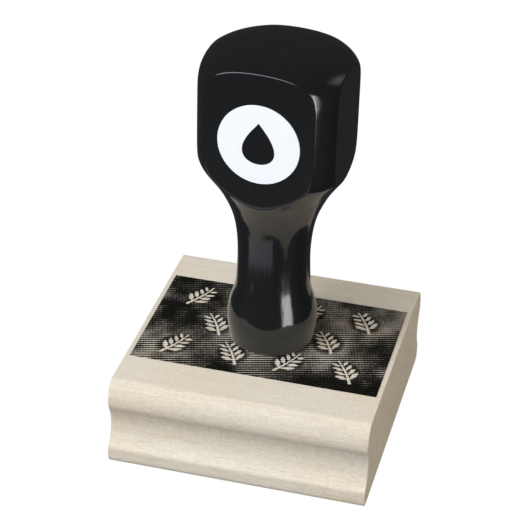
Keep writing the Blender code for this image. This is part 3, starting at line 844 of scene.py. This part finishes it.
def build_screw():
    """Countersunk screw: cross recess, plain neck in the block and a rolled thread above."""
    length = (SCREW_HIGH.z - SCREW_LOW.z) / MM
    threaded = np.arange(THREAD_START, length - 0.001, THREAD_PITCH / THREAD_STEPS)
    heights = [z for z, _ in SCREW_HEAD] + list(threaded) + [length]
    plain = dict(SCREW_HEAD)

    def reach(angles, k):
        z = heights[k]
        if z in plain:
            return plain[z]
        turn = (z / THREAD_PITCH - angles / (2 * math.pi)) % 1.0
        tooth = np.clip(np.abs(2 * turn - 1) * THREAD_FLANK - THREAD_ROOT, 0, 1)
        run_in = min(1.0, (z - THREAD_START) / THREAD_PITCH)
        tip = max(0.0, (z - (length - TIP_LENGTH)) / TIP_LENGTH)
        crest = SCREW_RADIUS - THREAD_DEPTH * (1 - tooth) * run_in
        return np.minimum(crest - NECK_WAIST * (1 - run_in), SCREW_RADIUS - TIP_NARROWS * tip)

    screw = turned("zinc_screw", reach, heights, SCREW_SEGMENTS)
    quarter = [(RECESS_ARM, RECESS_ARM), (RECESS_ARM, RECESS_END), (-RECESS_ARM, RECESS_END)]
    cross = []
    for _ in range(4):
        cross += quarter
        quarter = [(-y, x) for x, y in quarter]
    recess = [[(x * share, y * share, z) for x, y in cross]
              for share, z in ((1.0, -1.0), (RECESS_TAPER, RECESS_DEPTH))]
    carve(screw, new_object("recess", mesh_from("recess", *capped_tube(recess))))
    zinc = metal("zinc_plate", (0.66, 0.68, 0.72), 0.28)
    placed(screw, SCREW_LOW.z, 0.0, "block", "mount_screw", zinc)


def build_insert():
    """Brass insert in the handle's foot, knurled outside, with a waist and a chamfered mouth."""
    low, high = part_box("threaded_insert")
    length = (high.z - low.z) / MM
    angles = np.linspace(0, 2 * math.pi, INSERT_SEGMENTS, endpoint=False)
    heights = np.concatenate([[0.0, 0.3, 1.0, PLAIN_END], np.linspace(1.6, length - 1.6, 30),
                              [length - PLAIN_END, length - 1.0, length - 0.25, length]])
    rings = []
    for z in heights:
        knurl = np.cos(KNURL_COUNT * angles + z * KNURL_TURN) * np.cos(KNURL_COUNT * angles - z * KNURL_TURN)
        radius = INSERT_RADIUS - (INSERT_CHAMFER if z in (0.0, length) else 0.0)
        if PLAIN_END <= z <= length - PLAIN_END:
            radius = INSERT_RADIUS - WAIST_DEPTH + KNURL_DEPTH * knurl
        rings.append(ring(radius, angles, z))
    for z, chamfer in ((length, BORE_CHAMFER), (length - BORE_CHAMFER, 0.0), (BORE_CHAMFER, 0.0),
                       (0.0, BORE_CHAMFER)):
        rings.append(ring(INSERT_BORE + chamfer, angles, z))
    faces = tube_faces(len(rings), INSERT_SEGMENTS)
    last = (len(rings) - 1) * INSERT_SEGMENTS
    for i in range(INSERT_SEGMENTS):
        j = (i + 1) % INSERT_SEGMENTS
        faces.append((last + i, last + j, j, i))
    insert = new_object("brass_insert", mesh_from("brass_insert", np.concatenate(rings), faces), SHARP_ANGLE)
    brass = metal("turned_brass", (0.80, 0.58, 0.26), 0.26)
    placed(insert, low.z, 0.0, "insert", "threaded_insert", brass)


def metal(name, colour, rough):
    """Turned metal with a patchy tarnish."""
    t = Finish(name)
    turning = t.noise(6.0, (8.0, 8.0, 1.0), detail=2.0)
    tarnish = t.noise(0.5, detail=3.0, offset=6.0)
    shade = t.mix(t.span(tarnish, 0.45, 0.75, 0.0, 0.5), colour, tuple(0.7 * c for c in colour))
    return t.done(Base_Color=shade, Metallic=1.0, Roughness=t.span(turning, 0.3, 0.7, rough, rough + 0.14),
                  Normal=t.bump(turning, 0.01, 0.5))


# ---------------------------------------------------------------- floor, light and camera

FLOOR_SIZE = 6.0
FLOOR_DROP = 0.0002                   # under the printing face
FLOOR_COLOUR = (0.36, 0.36, 0.355)
CAMERA_PLACE = (0.09190, -0.38199, 0.29015)
CAMERA_ROLL = 1.68                    # degrees, clockwise
CAMERA_AIM = (-0.0020275, -0.0004992, 0.0483179)
LENS = 129.36
LIGHT_AIM = Vector((0.0, 0.0, 0.045))
AMBIENT = (0.386, 0.363, 0.330)
# What the lacquer mirrors: colour, strength, then (middle, half width, softness) in degrees, left of
# the front and above the horizon
REFLECTED = [((0.97, 0.99, 1.0), 7.6, (-53.0, 13.0, 4.0), (1.5, 25.5, 3.0)),
             ((0.92, 0.97, 1.06), 0.62, (33.0, 42.0, 3.0), (-42.0, 10.0, 2.5)),
             ((0.90, 0.97, 1.05), 0.06, (-8.0, 84.0, 12.0), (-30.0, 40.0, 15.0)),
             ((0.95, 1.0, 1.0), 0.9, (-124.0, 13.0, 9.0), (34.0, 11.0, 8.0))]
ROOM_LOW, ROOM_HIGH = (0.040, 0.044, 0.044), (0.058, 0.062, 0.060)


def build_floor():
    """A pale floor that meets the pale background without a line."""
    bm = bmesh.new()
    bmesh.ops.create_grid(bm, x_segments=8, y_segments=8, size=FLOOR_SIZE / 2)
    bmesh.ops.translate(bm, vec=(0.0, 0.0, -FLOOR_DROP), verts=bm.verts)
    mesh = bpy.data.meshes.new("floor")
    bm.to_mesh(mesh)
    bm.free()
    floor = new_object("floor", mesh)
    t = Tree(bpy.data.materials.new("pale_floor"))
    card = t.node("ShaderNodeBsdfDiffuse", {"Color": FLOOR_COLOUR}).outputs[0]
    glow = t.node("ShaderNodeEmission", {"Color": (1.0, 1.0, 1.0)}).outputs[0]
    clear = t.node("ShaderNodeBsdfTransparent").outputs[0]
    seen = t.node("ShaderNodeMixShader", {0: t.lit_by("Is Camera Ray"), 1: card, 2: glow}).outputs[0]
    back = t.node("ShaderNodeNewGeometry").outputs["Backfacing"]
    both = t.node("ShaderNodeMixShader", {0: back, 1: seen, 2: clear}).outputs[0]
    t.put(t.tree.nodes["Material Output"].inputs["Surface"], both)
    mesh.materials.append(t.block)
    floor.visible_glossy = False


def direction(azimuth, height):
    """Unit vector towards a light: azimuth in degrees left of the front, height above the horizon."""
    a, e = math.radians(azimuth), math.radians(height)
    return Vector((-math.sin(a) * math.cos(e), -math.cos(a) * math.cos(e), math.sin(e)))


def panel(name, azimuth, height, spread, radiance, colour, mirrored):
    """A round soft light one metre from the stamp; spread is its half angle in degrees."""
    towards = direction(azimuth, height)
    data = bpy.data.lights.new(name, "AREA")
    data.shape = "DISK"
    data.size = 2 * math.tan(math.radians(spread))
    data.color = colour
    data.energy = radiance * math.pi * math.pi * data.size ** 2 / 4
    light = bpy.data.objects.new(name, data)
    light.location = LIGHT_AIM + towards
    light.rotation_mode = "QUATERNION"
    light.rotation_quaternion = (-towards).to_track_quat("-Z", "Y")
    light.visible_glossy, light.visible_camera = mirrored, False
    bpy.context.scene.collection.objects.link(light)


def build_lights():
    """A broad key light from the upper left and a low fill from the right."""
    panel("key", azimuth=40.0, height=45.0, spread=30.0, radiance=4.45, colour=(0.975, 1.01, 1.08),
          mirrored=True)
    panel("fill", azimuth=-84.0, height=10.0, spread=22.0, radiance=2.9, colour=(1.0, 0.98, 0.96),
          mirrored=False)


def build_world():
    """Even pale surroundings. The lacquer mirrors a dim room with a few soft windows and cards instead."""
    world = bpy.data.worlds.new("studio")
    bpy.context.scene.world = world
    t = Tree(world)
    x, y, z = t.parts(t.node("ShaderNodeTexCoord").outputs["Generated"])
    azimuth = t.math("DEGREES", t.math("ARCTAN2", t.times(x, -1.0), t.times(y, -1.0)))
    height = t.math("DEGREES", t.math("ARCSINE", z))
    around = t.vector(x, y, z)
    uneven = t.noise(14.0, detail=4.0, rough=0.75, at=around)
    azimuth = t.math("ADD", azimuth, t.span(uneven, 0.2, 0.8, -4.5, 4.5, soft=False))
    streak = t.noise(22.0, detail=3.0, rough=0.7, at=around, offset=5.0)
    height = t.math("ADD", height, t.span(streak, 0.2, 0.8, -6.0, 6.0, soft=False))
    room = t.mix(t.span(height, -30.0, 40.0), ROOM_LOW, ROOM_HIGH)
    for colour, strength, across, up in REFLECTED:
        share = strength
        for angle, (middle, half, soft) in ((azimuth, across), (height, up)):
            away = t.math("ABSOLUTE", t.math("SUBTRACT", angle, middle))
            share = t.times(t.span(away, half - soft, half + soft, 1.0, 0.0), share)
        share = t.times(share, t.span(streak, 0.3, 0.7, 0.7, 1.3, soft=False))
        room = t.math3("ADD", room, t.math3("SCALE", colour, share))
    surround = t.mix(t.lit_by("Is Glossy Ray"), AMBIENT, room)
    surround = t.mix(t.lit_by("Is Camera Ray"), surround, (1.0, 1.0, 1.0))
    t.put(t.tree.nodes["Background"].inputs["Color"], surround)


def build_camera():
    """A long lens from above the front, turned slightly about its axis."""
    data = bpy.data.cameras.new("camera")
    data.lens, data.sensor_width = LENS, 36.0
    data.clip_start, data.clip_end = 0.01, 20.0
    camera = bpy.data.objects.new("camera", data)
    place = Vector(CAMERA_PLACE)
    look = (Vector(CAMERA_AIM) - place).to_track_quat("-Z", "Y")
    camera.rotation_mode = "QUATERNION"
    camera.rotation_quaternion = look @ Matrix.Rotation(math.radians(CAMERA_ROLL), 3, "Z").to_quaternion()
    camera.location = place
    bpy.context.scene.collection.objects.link(camera)
    bpy.context.scene.camera = camera
    bpy.context.scene.view_settings.view_transform = "Standard"


build_handle()
build_label()
build_block()
build_film()
build_screw()
build_insert()
build_die()
build_foam()
finish_adhesives()
build_floor()
build_lights()
build_world()
build_camera()
